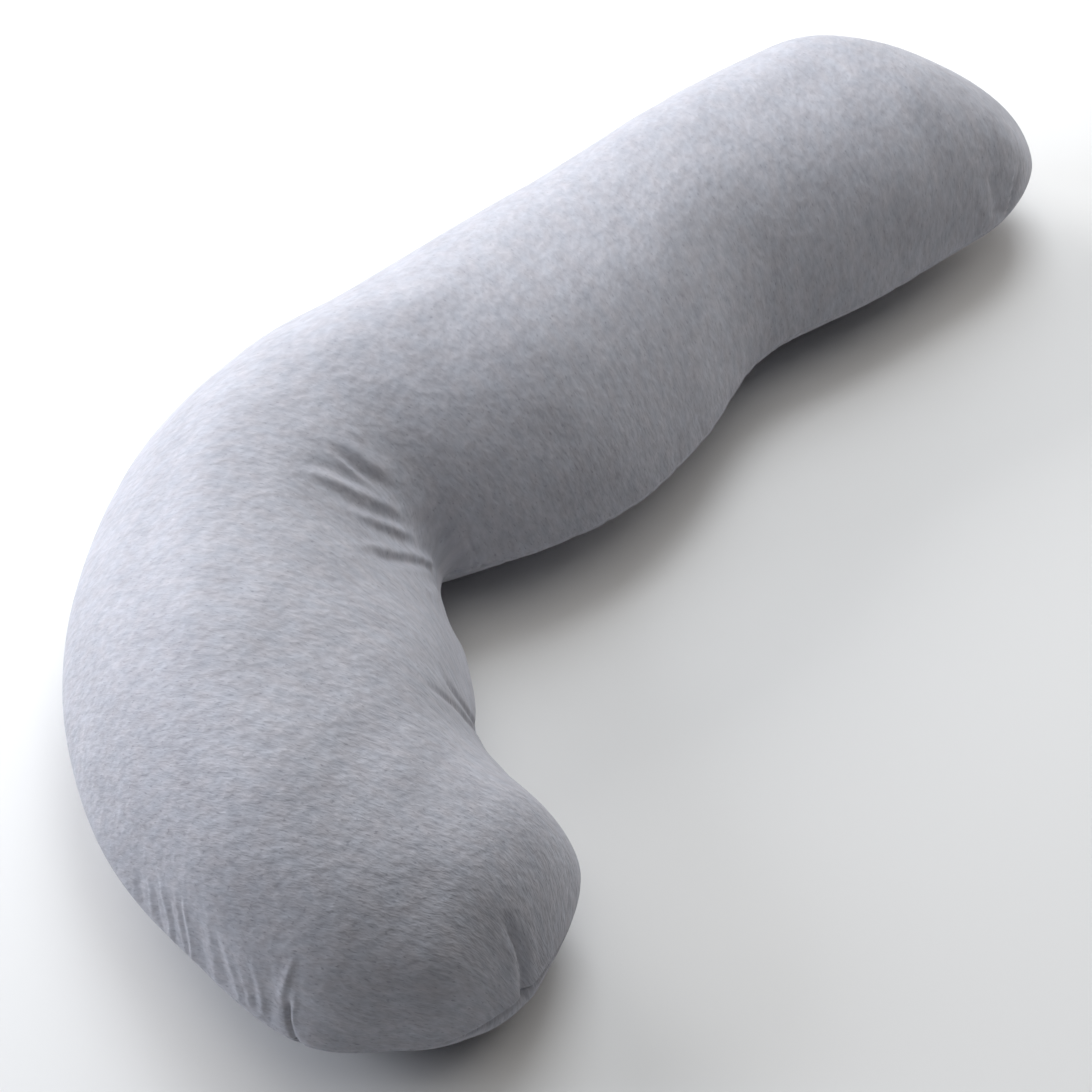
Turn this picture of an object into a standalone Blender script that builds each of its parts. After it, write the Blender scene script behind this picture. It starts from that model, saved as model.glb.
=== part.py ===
"""Body pillow: a J-shaped side-sleeper's pillow, two jersey panels sewn round one outline and filled.

The pillow lies on its back on the floor. +Z is up, +X runs along the straight arm to its far end,
and the hooked foot is at -X, turned towards -Y. The origin is on the floor, under the middle of the
pillow's box. Lengths are in metres.

The form is one closed loft. Each cross section has a flat patch on the floor, an under side that draws
in to that patch, a sewn edge, and a crown. The two ends are rounded in plan and close to a point on the
sewn edge. The places where the filling stands fuller or slacker, and the main folds, are added to that
form afterwards, one row of a table for each.
"""
from collections import namedtuple

import bpy
import numpy as np

# ---- driving dimensions -----------------------------------------------------------------------------

CROWN = 0.205            # height of the filled form over the floor
FOOT_CROWN = 0.184       # the foot end is a little lower
SEAM_RISE = 0.36         # height of the sewn edge, as a share of the crown
FLOOR_SHARE = 0.45       # half width of the patch on the floor, as a share of the half width

# Exponents of the cross section: 2 gives an ellipse, more gives a fuller shoulder. The rise exponents,
# near 1, bring the two panels together at an angle, which is the sewn edge.
TOP_SHOULDER = 2.5
TOP_RISE = 1.2
UNDER_SHOULDER = 1.6
UNDER_RISE = 1.05
END_FALL = 1.5           # how quickly the crown falls towards the tip of an end

# The sewn outline, as pairs of points on the outer and the inner edge of the J, foot to far end.
Section = namedtuple("Section", "name outer_x outer_y inner_x inner_y crown")
SECTIONS = (
    Section("foot",        -0.513, -0.299, -0.308, -0.182, FOOT_CROWN),
    Section("foot_hollow", -0.567, -0.248, -0.301, -0.136, 0.187),
    Section("hook_low",    -0.589, -0.135, -0.281, -0.102, CROWN),
    Section("hook_wide",   -0.585, -0.018, -0.255, -0.060, CROWN),
    Section("hook_high",   -0.540,  0.100, -0.242, -0.025, CROWN),
    Section("bend_low",    -0.464,  0.200, -0.226,  0.004, CROWN),
    Section("bend_middle", -0.350,  0.285, -0.208,  0.014, CROWN),
    Section("bend_high",   -0.220,  0.320, -0.180,  0.000, CROWN),
    Section("arm_start",   -0.095,  0.320, -0.125, -0.020, CROWN),
    Section("arm_belly",    0.025,  0.324, -0.040, -0.035, CROWN),
    Section("arm_middle",   0.145,  0.320,  0.060, -0.020, CROWN),
    Section("arm_waist",    0.245,  0.318,  0.179,  0.017, CROWN),
    Section("arm_leg",      0.334,  0.318,  0.315,  0.000, CROWN),
    Section("arm_end",      0.408,  0.312,  0.452, -0.009, CROWN),
)

# The rounded ends, past the first and the last section: reach, sideways lean of the tip towards the
# inner edge, and roundness in plan (2 is an ellipse).
End = namedtuple("End", "reach lean roundness")
FOOT_END = End(0.078, 0.026, 2.60)
FAR_END = End(0.158, 0.048, 1.64)

# Places on the skin are given as along and across: along is the distance from the foot section on the
# middle line, and across the distance from the crown line, round the section and + towards the inner edge.

# Where the filling stands fuller (+) or slacker (-) than the plain form. The seams hold the skin.
Swell = namedtuple("Swell", "name along across reach_along reach_across height")
SWELLS = (
    Swell("foot_top",        -0.022,  0.030, 0.030, 0.036, -0.0030),
    Swell("foot_tip",        -0.015, -0.035, 0.047, 0.086, -0.0120),
    Swell("foot_side",       -0.006, -0.100, 0.035, 0.035,  0.0075),
    Swell("foot_shoulder",   -0.005, -0.140, 0.045, 0.045,  0.0035),
    Swell("foot_hollow",      0.000, -0.010, 0.030, 0.035,  0.0023),
    Swell("pinch_hollow",     0.070, -0.180, 0.035, 0.022, -0.0050),
    Swell("foot_neck",        0.072,  0.045, 0.035, 0.060,  0.0055),
    Swell("pucker_hollow",    0.095, -0.130, 0.030, 0.025, -0.0020),
    Swell("foot_saddle",      0.100,  0.020, 0.045, 0.060, -0.0021),
    Swell("hook_shoulder",    0.100, -0.100, 0.120, 0.080,  0.0132),
    Swell("hook_low",         0.120, -0.145, 0.050, 0.035,  0.0062),
    Swell("hook_front",       0.150,  0.040, 0.050, 0.045, -0.0030),
    Swell("hook_middle",      0.170, -0.015, 0.060, 0.050, -0.0021),
    Swell("hook_inner",       0.200,  0.130, 0.050, 0.045,  0.0026),
    Swell("hook_outer",       0.230, -0.130, 0.060, 0.040,  0.0033),
    Swell("hook_crown",       0.255, -0.030, 0.095, 0.065,  0.0096),
    Swell("corner_shoulder",  0.320,  0.175, 0.070, 0.035,  0.0049),
    Swell("hook_rim",         0.330, -0.150, 0.110, 0.035, -0.0015),
    Swell("corner_pocket",    0.345,  0.140, 0.030, 0.035, -0.0039),
    Swell("bend_shoulder",    0.370, -0.080, 0.090, 0.035, -0.0087),
    Swell("fan_hollow",       0.400,  0.080, 0.050, 0.045, -0.0042),
    Swell("bend_outer",       0.415, -0.125, 0.070, 0.050, -0.0062),
    Swell("arm_root",         0.500,  0.160, 0.050, 0.040, -0.0016),
    Swell("bend_hollow",      0.530,  0.090, 0.040, 0.070, -0.0046),
    Swell("belly_shoulder",   0.620, -0.025, 0.085, 0.050,  0.0083),
    Swell("belly_rim",        0.650,  0.190, 0.090, 0.035,  0.0019),
    Swell("belly",            0.700,  0.050, 0.060, 0.107,  0.0065),
    Swell("arm_top",          0.800, -0.080, 0.150, 0.050, -0.0012),
    Swell("end_top",          1.050, -0.050, 0.100, 0.060,  0.0034),
    Swell("thigh",            1.135,  0.130, 0.070, 0.060,  0.0062),
    Swell("far_corner",       1.250,  0.125, 0.040, 0.050,  0.0084),
)
HELD_BY_SEAM = 0.028     # a swell this far from a seam has most of its height
HELD_BY_FLOOR = 0.030    # swells and folds die out over this height above the flat strip

# The main folds: + stands up as a ridge, - is pressed in as a trough. Each runs through three places,
# given as (along, across). A fold that runs into a seam is highest there, and a free one half way.
Fold = namedtuple("Fold", "name start middle end half_width height runs_into_seam")
FOLDS = (
    Fold("fan_high_trough",   (0.463, 0.050), (0.457, 0.085), (0.470, 0.126), 0.0080, -0.0040, False),
    Fold("fan_middle_ridge",  (0.412, 0.028), (0.421, 0.084), (0.456, 0.153), 0.0080,  0.0035, False),
    Fold("fan_middle_trough", (0.410, 0.046), (0.404, 0.095), (0.437, 0.160), 0.0080, -0.0050, False),
    Fold("fan_low_ridge",     (0.388, 0.078), (0.394, 0.116), (0.434, 0.167), 0.0070,  0.0035, False),
    Fold("fan_low_trough",    (0.382, 0.092), (0.383, 0.128), (0.416, 0.172), 0.0075, -0.0045, False),
    Fold("fan_base_ridge",    (0.330, 0.088), (0.353, 0.135), (0.404, 0.186), 0.0080,  0.0040, False),
    Fold("fan_base_trough",   (0.326, 0.105), (0.342, 0.145), (0.385, 0.188), 0.0080, -0.0040, True),
    Fold("fan_lowest_ridge",  (0.310, 0.130), (0.341, 0.163), (0.376, 0.190), 0.0090,  0.0030, True),
    Fold("hook_crease",       (0.142, 0.107), (0.108, 0.145), (0.085, 0.205), 0.0080, -0.0045, True),
    Fold("outer_pinch",       (0.073, -0.128), (0.077, -0.155), (0.079, -0.185), 0.0070,  0.0025, False),
    Fold("outer_pinch_pit",   (0.074, -0.150), (0.073, -0.180), (0.065, -0.208), 0.0070, -0.0060, True),
    Fold("hook_pucker_1",     (0.187, -0.182), (0.182, -0.204), (0.177, -0.222), 0.0080, -0.0022, True),
    Fold("hook_pucker_2",     (0.168, -0.182), (0.162, -0.204), (0.155, -0.224), 0.0080, -0.0026, True),
    Fold("hook_pucker_3",     (0.133, -0.164), (0.131, -0.188), (0.124, -0.214), 0.0085, -0.0028, True),
    Fold("hook_pucker_4",     (0.121, -0.153), (0.117, -0.176), (0.109, -0.206), 0.0080, -0.0024, True),
    Fold("hook_pucker_5",     (0.087, -0.138), (0.086, -0.165), (0.083, -0.200), 0.0085, -0.0026, True),
    Fold("foot_trough",       (-0.045, -0.043), (-0.058, -0.060), (-0.063, -0.096), 0.0065, -0.0060, True),
    Fold("foot_under_seam",   (-0.074, -0.053), (-0.062, -0.112), (-0.030, -0.171), 0.0100,  0.0045, False),
    Fold("hook_under_seam",   (0.260, 0.238), (0.190, 0.238), (0.110, 0.223), 0.0100,  0.0045, False),
    Fold("far_pucker_1",      (1.211, 0.156), (1.208, 0.180), (1.203, 0.207), 0.0090, -0.0026, True),
    Fold("far_pucker_2",      (1.243, 0.154), (1.237, 0.176), (1.222, 0.207), 0.0090, -0.0030, True),
)

# A fold that runs into a seam grows by this power of its run, and its half width changes between
# these shares of the value in the table.
FOLD_GROWTH = 0.8
WIDTH_AT_FREE_END = 1.20
WIDTH_AT_SEAM = 0.85

# Fineness of the solid. The sections are closer over the folds: (distance along, spacing there).
SECTION_SPACING = ((0.00, 0.010), (0.05, 0.008), (0.19, 0.008), (0.25, 0.012), (0.30, 0.006), (0.48, 0.006),
                   (0.54, 0.014), (0.70, 0.018), (1.10, 0.017), (1.185, 0.012))
FINE_STEPS = 2000
STEPS_OVER_TOP = 24
STEPS_PER_UNDER_SIDE = 8
STEPS_ON_FLOOR = 4
STEPS_IN_END = 9
POINTS_ON_FOLD = 24
SHARP_FROM_ANGLE = np.radians(50)

JERSEY_GREY = (0.40, 0.405, 0.445, 1.0)
JERSEY_ROUGHNESS = 0.92


# ---- the filled form --------------------------------------------------------------------------------

def sections_along_pillow():
    """Outline pairs and crowns read from smooth curves through the table, as far apart along the middle
    as the spacing table says."""
    table = np.array([row[1:] for row in SECTIONS])
    outer_hop = np.linalg.norm(np.diff(table[:, 0:2], axis=0), axis=1)
    inner_hop = np.linalg.norm(np.diff(table[:, 2:4], axis=0), axis=1)
    knots = np.concatenate([[0.0], np.cumsum((outer_hop + inner_hop) / 2)])
    slopes = np.gradient(table, knots, axis=0)

    scale = np.linspace(0.0, knots[-1], FINE_STEPS + 1)
    places, spacings = np.array(SECTION_SPACING).T
    closeness = 1 / np.interp(scale, places, spacings)
    count = np.concatenate([[0.0], np.cumsum(np.diff(scale) * (closeness[1:] + closeness[:-1]) / 2)])
    along = np.interp(np.linspace(0.0, count[-1], int(round(count[-1])) + 1), count, scale)
    row = np.clip(np.searchsorted(knots, along, side="right") - 1, 0, len(table) - 2)
    gap = (knots[row + 1] - knots[row])[:, None]
    t = (along - knots[row])[:, None] / gap
    values = ((2 * t**3 - 3 * t**2 + 1) * table[row]
              + (t**3 - 2 * t**2 + t) * slopes[row] * gap
              + (3 * t**2 - 2 * t**3) * table[row + 1]
              + (t**3 - t**2) * slopes[row + 1] * gap)
    return along, values[:, 0:2], values[:, 2:4], values[:, 4]


def section_shape():
    """One cross section of half width 1, from the outer seam over the crown to the inner seam and back
    under: across is +1 on the outer seam and -1 on the inner, rise is +1 on the crown, 0 on the seams
    and -1 on the floor."""
    over = np.linspace(0.0, np.pi, STEPS_OVER_TOP + 1)
    sine = np.clip(np.sin(over), 0.0, 1.0)
    top_across = np.sign(np.cos(over)) * np.abs(np.cos(over)) ** (2 / TOP_SHOULDER)
    top_rise = sine ** (2 / TOP_RISE)

    down = np.linspace(0.0, np.pi / 2, STEPS_PER_UNDER_SIDE + 1)[1:]
    cosine = np.clip(np.cos(down), 0.0, 1.0)
    under_across = FLOOR_SHARE + (1 - FLOOR_SHARE) * cosine ** (2 / UNDER_SHOULDER)
    under_across[-1] = FLOOR_SHARE
    under_rise = -np.sin(down) ** (2 / UNDER_RISE)

    floor_across = np.linspace(-FLOOR_SHARE, FLOOR_SHARE, STEPS_ON_FLOOR + 1)[1:-1]
    floor_rise = -np.ones_like(floor_across)

    across = np.concatenate([top_across, -under_across, floor_across, under_across[::-1]])
    rise = np.concatenate([top_rise, under_rise, floor_rise, under_rise[::-1]])
    return across, rise


def rounded_end(last, before_last, end):
    """The sections of one end, past the last one: the middle, half width and crown go on with the slopes
    that they have there, while half width and fullness close to nothing. A section is given as middle,
    toward_outer, half width and crown. Returns middles, half widths, crowns, fullness and distances."""
    middle, toward_outer, half_width, crown = last
    hop = middle - before_last[0]
    length = np.linalg.norm(hop)
    turn = np.linspace(0.0, np.pi / 2, STEPS_IN_END + 1)[1:]
    reach = np.sin(turn) ** (2 / end.roundness)
    distance = end.reach * reach
    middles = middle + np.outer(distance, hop / length) - np.outer(end.lean * reach**2, toward_outer)
    half_widths = half_width + (half_width - before_last[2]) / length * distance
    half_widths = half_widths * np.cos(turn) ** (2 / end.roundness)
    crowns = crown + (crown - before_last[3]) / length * distance
    return middles, half_widths, crowns, np.cos(turn) ** END_FALL, distance


def plain_form():
    """The filled form without swells and folds, as a grid of points [section, step round it], and how far
    along each section is. The first and last sections are the tips of the ends."""
    along, outer, inner, crown = sections_along_pillow()
    middle = (outer + inner) / 2
    half = np.linalg.norm(outer - inner, axis=1) / 2
    toward_outer = (outer - inner) / (2 * half[:, None])

    rows = list(zip(middle, toward_outer, half, crown))
    foot_middle, foot_half, foot_crown, foot_full, foot_reach = rounded_end(rows[0], rows[1], FOOT_END)
    far_middle, far_half, far_crown, far_full, far_reach = rounded_end(rows[-1], rows[-2], FAR_END)

    middle = np.vstack([foot_middle[::-1], middle, far_middle])
    half = np.concatenate([foot_half[::-1], half, far_half])
    crown = np.concatenate([foot_crown[::-1], crown, far_crown])
    fullness = np.concatenate([foot_full[::-1], np.ones(len(along)), far_full])
    toward_outer = np.pad(toward_outer, ((STEPS_IN_END, STEPS_IN_END), (0, 0)), mode="edge")
    along = np.concatenate([-foot_reach[::-1], along, along[-1] + far_reach])

    across, rise = section_shape()
    seam = SEAM_RISE * crown
    span = np.where(rise > 0, (crown - seam)[:, None], seam[:, None])
    plan = middle[:, None, :] + (half[:, None] * across)[..., None] * toward_outer[:, None, :]
    height = seam[:, None] + fullness[:, None] * rise * span
    return np.dstack([plan, height]), along


# ---- the swells and folds ---------------------------------------------------------------------------

def outward_directions(grid):
    """Unit normals of the grid's points, from the differences to the neighbours."""
    round_step = np.roll(grid, -1, axis=1) - np.roll(grid, 1, axis=1)
    normals = np.cross(round_step, np.gradient(grid, axis=0))
    return normals / np.maximum(np.linalg.norm(normals, axis=2, keepdims=True), 1e-9)


def ways_round(grid):
    """The way to each grid point round its section, from the outer seam over the crown. There is one
    more column, which closes the section."""
    hop = np.linalg.norm(np.roll(grid, -1, axis=1) - grid, axis=2)
    return np.concatenate([np.zeros((len(grid), 1)), np.cumsum(hop, axis=1)], axis=1)


def swell_height(grid, along):
    """Height of the swells over the plain form: one round bell each, flattened to nothing at the seams."""
    ways = ways_round(grid)
    girth = np.maximum(ways[:, -1:], 1e-6)
    way = ways[:, :-1]
    to_crown = way - way[:, STEPS_OVER_TOP // 2][:, None]
    across = (to_crown + girth / 2) % girth - girth / 2
    seam_gap = np.minimum(np.minimum(way, girth - way), np.abs(way - way[:, STEPS_OVER_TOP][:, None]))
    height = np.zeros(across.shape)
    for swell in SWELLS:
        lengthwise = (along[:, None] - swell.along) / swell.reach_along
        crosswise = (across - swell.across) / swell.reach_across
        height += swell.height * np.exp(-(lengthwise**2) - crosswise**2)
    return height * (1 - np.exp(-((seam_gap / HELD_BY_SEAM) ** 2)))


def fold_line(fold, grid, along):
    """The fold's line on the skin: a curve through its three places, read from the grid."""
    t = np.linspace(0.0, 1.0, POINTS_ON_FOLD)[:, None]
    start, middle, end = (np.array(p, dtype=float) for p in (fold.start, fold.middle, fold.end))
    path = start * (1 - t) * (1 - 2 * t) + middle * 4 * t * (1 - t) + end * t * (2 * t - 1)
    section = np.interp(path[:, 0], along, np.arange(len(along)))
    low = np.clip(section.astype(int), 0, len(along) - 2)
    share = (section - low)[:, None]

    ways = ways_round(grid)
    closed = np.concatenate([grid, grid[:, :1]], axis=1)

    def on_section(number, across):
        run = ways[number]
        way = (across + run[STEPS_OVER_TOP // 2]) % max(run[-1], 1e-6)
        return [np.interp(way, run, closed[number, :, axis]) for axis in range(3)]

    lower = np.array([on_section(n, a) for n, a in zip(low, path[:, 1])])
    upper = np.array([on_section(n + 1, a) for n, a in zip(low, path[:, 1])])
    return (1 - share) * lower + share * upper


def fold_height(fold, grid, along):
    """Height of one fold over the skin: a bell shape across its line, fading at its free ends. The
    distance is measured to the nearest point of the line's straight pieces."""
    line = fold_line(fold, grid, along)
    start = line[:-1]
    piece = line[1:] - start
    offset = grid[:, :, None, :] - start
    share = (offset * piece).sum(axis=3) / (piece**2).sum(axis=1)
    share = np.clip(share, 0.0, 1.0)
    gap = np.linalg.norm(offset - share[..., None] * piece, axis=3)
    nearest = gap.argmin(axis=2)[..., None]
    distance = np.take_along_axis(gap, nearest, axis=2)[..., 0]
    run = (nearest + np.take_along_axis(share, nearest, axis=2))[..., 0] / len(piece)
    if fold.runs_into_seam:
        strength = run**FOLD_GROWTH
        half_width = fold.half_width * (WIDTH_AT_FREE_END * (1 - run) + WIDTH_AT_SEAM * run)
    else:
        strength = np.sin(np.pi * run)
        half_width = fold.half_width
    return fold.height * strength * np.exp(-((distance / half_width) ** 2))


def lived_in_form():
    """The plain form with every swell and fold added along the skin's own normals. The patch on the
    floor stays flat, and the whole is then centred over the origin."""
    grid, along = plain_form()
    height = swell_height(grid, along)
    height = height + sum(fold_height(fold, grid, along) for fold in FOLDS)
    height = height * np.clip(grid[:, :, 2] / HELD_BY_FLOOR, 0.0, 1.0)
    grid = grid + height[..., None] * outward_directions(grid)
    corners = grid.reshape(-1, 3)
    centre = (corners.min(axis=0) + corners.max(axis=0)) / 2
    grid[:, :, 0:2] -= centre[0:2]
    return grid


# ---- the solid --------------------------------------------------------------------------------------

def closed_mesh(name, grid):
    """A mesh of the grid's squares, with the first and last section closed to one point each."""
    sections, steps = grid.shape[0], grid.shape[1]
    body = grid[1:-1].reshape(-1, 3)
    foot_tip = grid[0].mean(axis=0)
    far_tip = grid[-1].mean(axis=0)
    vertices = np.vstack([body, foot_tip, far_tip])

    corner = np.arange((sections - 2) * steps).reshape(sections - 2, steps)
    beside = np.roll(corner, -1, axis=1)
    quads = np.stack([corner[:-1], beside[:-1], beside[1:], corner[1:]], axis=-1).reshape(-1, 4)
    foot = np.full(steps, len(body))
    far = np.full(steps, len(body) + 1)
    foot_fan = np.stack([beside[0], corner[0], foot], axis=-1)
    far_fan = np.stack([corner[-1], beside[-1], far], axis=-1)

    mesh = bpy.data.meshes.new(name)
    mesh.from_pydata(vertices.tolist(), [], quads.tolist() + foot_fan.tolist() + far_fan.tolist())
    mesh.validate()
    mesh.shade_smooth()
    mesh.set_sharp_from_angle(angle=SHARP_FROM_ANGLE)
    return mesh


def heathered_jersey():
    """Light-grey melange cotton jersey: soft and matt, a little bluish."""
    material = bpy.data.materials.new("heathered_jersey")
    material.use_nodes = True
    shader = material.node_tree.nodes["Principled BSDF"]
    shader.inputs["Base Color"].default_value = JERSEY_GREY
    shader.inputs["Roughness"].default_value = JERSEY_ROUGHNESS
    shader.inputs["Metallic"].default_value = 0.0
    material.diffuse_color = JERSEY_GREY
    return material


def build_pillow():
    """Clears the scene and puts the pillow in its own collection."""
    for thing in list(bpy.data.objects):
        bpy.data.objects.remove(thing, do_unlink=True)
    collection = bpy.data.collections.new("body_pillow")
    bpy.context.scene.collection.children.link(collection)

    pillow = bpy.data.objects.new("pillow", closed_mesh("pillow", lived_in_form()))
    pillow.data.materials.append(heathered_jersey())
    collection.objects.link(pillow)


build_pillow()
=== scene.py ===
"""J-shaped body pillow in heathered grey jersey, lying on its back on a pale studio floor and seen
from the photograph's angle. Lengths are in metres. +X runs along the straight arm to its far end, +Z
is up, and the hooked foot is at -X, turned towards -Y."""
import math
from collections import namedtuple

import bpy
import numpy as np
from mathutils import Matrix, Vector


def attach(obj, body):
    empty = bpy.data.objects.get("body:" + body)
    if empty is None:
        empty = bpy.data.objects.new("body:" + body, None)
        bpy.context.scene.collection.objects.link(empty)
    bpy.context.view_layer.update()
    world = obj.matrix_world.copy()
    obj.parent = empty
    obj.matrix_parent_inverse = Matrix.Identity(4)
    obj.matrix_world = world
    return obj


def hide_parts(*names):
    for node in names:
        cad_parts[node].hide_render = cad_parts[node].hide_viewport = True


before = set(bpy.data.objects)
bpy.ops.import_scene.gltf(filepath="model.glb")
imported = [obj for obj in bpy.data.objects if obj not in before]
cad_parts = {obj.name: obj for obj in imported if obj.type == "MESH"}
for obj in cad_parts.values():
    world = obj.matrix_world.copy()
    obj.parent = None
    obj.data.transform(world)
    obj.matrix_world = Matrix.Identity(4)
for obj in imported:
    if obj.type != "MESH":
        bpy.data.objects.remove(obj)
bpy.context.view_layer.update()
scene = bpy.context.scene


# ---- the camera -------------------------------------------------------------------------------------
# It looks down on the pillow from the outside of the hook, so the foot is near and the arm runs away
# to the upper right. The picture is square.

CAMERA_AZIMUTH = math.radians(-42)
CAMERA_ELEVATION = math.radians(50)
CAMERA_DISTANCE = 1.9675
CAMERA_AIM = Vector((-0.0875, 0.0292, 0.0))
FIELD_OF_VIEW = math.radians(28)
SENSOR_WIDTH = 36.0

camera_lens = bpy.data.cameras.new("studio_camera")
camera_lens.sensor_width = SENSOR_WIDTH
camera_lens.lens = SENSOR_WIDTH / 2 / math.tan(FIELD_OF_VIEW / 2)
camera_lens.clip_end = 50.0
camera = bpy.data.objects.new("studio_camera", camera_lens)
away = Vector((
    math.sin(CAMERA_AZIMUTH) * math.cos(CAMERA_ELEVATION),
    -math.cos(CAMERA_AZIMUTH) * math.cos(CAMERA_ELEVATION),
    math.sin(CAMERA_ELEVATION),
))
camera.location = CAMERA_AIM + CAMERA_DISTANCE * away
camera.rotation_euler = (-away).to_track_quat("-Z", "Y").to_euler()
scene.collection.objects.link(camera)
scene.camera = camera


# ---- the filled cover -------------------------------------------------------------------------------
# Two mirror-image panels of jersey, sewn face to face round one J-shaped outline, turned out and
# stuffed with loose fibre. The filling rounds both panels out between the seams, and its weight
# presses a flat strip along the under panel, on which the pillow lies.

CROWN = 0.205
FOOT_CROWN = 0.184
SEAM_RISE = 0.36         # height of the seam, as a share of the crown
FLOOR_SHARE = 0.45       # half width of the flat strip, as a share of the half width
TOP_SHOULDER = 2.5       # exponents of the cross section: 2 is an ellipse, more is a fuller shoulder
TOP_RISE = 1.2
UNDER_SHOULDER = 1.6
UNDER_RISE = 1.05
END_FALL = 1.5           # how quickly the crown falls towards the tip of an end

# The sewn outline, as pairs of points on the outer and the inner edge of the J, foot to far end.
Section = namedtuple("Section", "name outer_x outer_y inner_x inner_y crown")
SECTIONS = (
    Section("foot",        -0.513, -0.299, -0.308, -0.182, FOOT_CROWN),
    Section("foot_hollow", -0.567, -0.248, -0.301, -0.136, 0.187),
    Section("hook_low",    -0.589, -0.135, -0.281, -0.102, CROWN),
    Section("hook_wide",   -0.585, -0.018, -0.255, -0.060, CROWN),
    Section("hook_high",   -0.540,  0.100, -0.242, -0.025, CROWN),
    Section("bend_low",    -0.464,  0.200, -0.226,  0.004, CROWN),
    Section("bend_middle", -0.350,  0.285, -0.208,  0.014, CROWN),
    Section("bend_high",   -0.220,  0.320, -0.180,  0.000, CROWN),
    Section("arm_start",   -0.095,  0.320, -0.125, -0.020, CROWN),
    Section("arm_belly",    0.025,  0.324, -0.040, -0.035, CROWN),
    Section("arm_middle",   0.145,  0.320,  0.060, -0.020, CROWN),
    Section("arm_waist",    0.245,  0.318,  0.179,  0.017, CROWN),
    Section("arm_leg",      0.334,  0.318,  0.315,  0.000, CROWN),
    Section("arm_end",      0.408,  0.312,  0.452, -0.009, CROWN),
)
End = namedtuple("End", "reach lean roundness")
FOOT_END = End(0.078, 0.026, 2.60)
FAR_END = End(0.158, 0.048, 1.64)

# Where the skin needs close steps along the pillow: (distance along the middle, spacing there).
SPACING = ((0.00, 0.0020), (0.06, 0.0015), (0.07, 0.0012), (0.17, 0.0013), (0.20, 0.0021),
           (0.28, 0.0024), (0.32, 0.0020), (0.50, 0.0021), (0.56, 0.0034), (0.66, 0.0058),
           (1.05, 0.0060), (1.15, 0.0032), (1.185, 0.0028))
STEPS_IN_END = 36
TOP_STEPS = 124
SIDE_STEPS = 28
FLOOR_STEPS = 8
BESIDE_SEAM = 0.022      # within this distance of a seam the steps round a section are closer,
SEAM_CLOSENESS = 3.0     # by up to this factor
STEP_WIDTH = 0.165       # half width and height of the section that the steps are measured on
STEP_HEIGHT = 0.130
SCALE_ALONG = 4001       # places on the fine scales that the steps are picked from
SCALE_ROUND = 3001
NEARLY_ZERO = 1e-9       # least length that is divided by, where an end closes to a point


def even_steps(position, closeness, count):
    """Places along a fine scale of positions, count steps in all. A step is as long as one over the
    closeness there, times a common factor."""
    steps = np.diff(position) * (closeness[1:] + closeness[:-1]) / 2
    running = np.concatenate([[0.0], np.cumsum(steps)])
    return np.interp(np.linspace(0.0, running[-1], count + 1), running, position)


def sections_along(spacing):
    """Outer and inner outline points and crowns at places along the middle, read from cubic curves
    through the table, whose slopes are the table's own differences. Places are in metres of the mean
    of the outer and the inner edge's length, and lie as far apart as spacing says."""
    table = np.array([row[1:] for row in SECTIONS])
    outer_hop = np.linalg.norm(np.diff(table[:, 0:2], axis=0), axis=1)
    inner_hop = np.linalg.norm(np.diff(table[:, 2:4], axis=0), axis=1)
    knots = np.concatenate([[0.0], np.cumsum((outer_hop + inner_hop) / 2)])
    slopes = np.gradient(table, knots, axis=0)

    scale = np.linspace(0.0, knots[-1], SCALE_ALONG)
    closeness = 1 / np.interp(scale, *np.array(spacing).T)
    along = even_steps(scale, closeness, int(round(closeness.mean() * knots[-1])))
    row = np.clip(np.searchsorted(knots, along, side="right") - 1, 0, len(table) - 2)
    gap = (knots[row + 1] - knots[row])[:, None]
    t = (along - knots[row])[:, None] / gap
    values = ((2 * t**3 - 3 * t**2 + 1) * table[row]
              + (t**3 - 2 * t**2 + t) * slopes[row] * gap
              + (3 * t**2 - 2 * t**3) * table[row + 1]
              + (t**3 - t**2) * slopes[row + 1] * gap)
    return along, values[:, 0:2], values[:, 2:4], values[:, 4]


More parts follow.
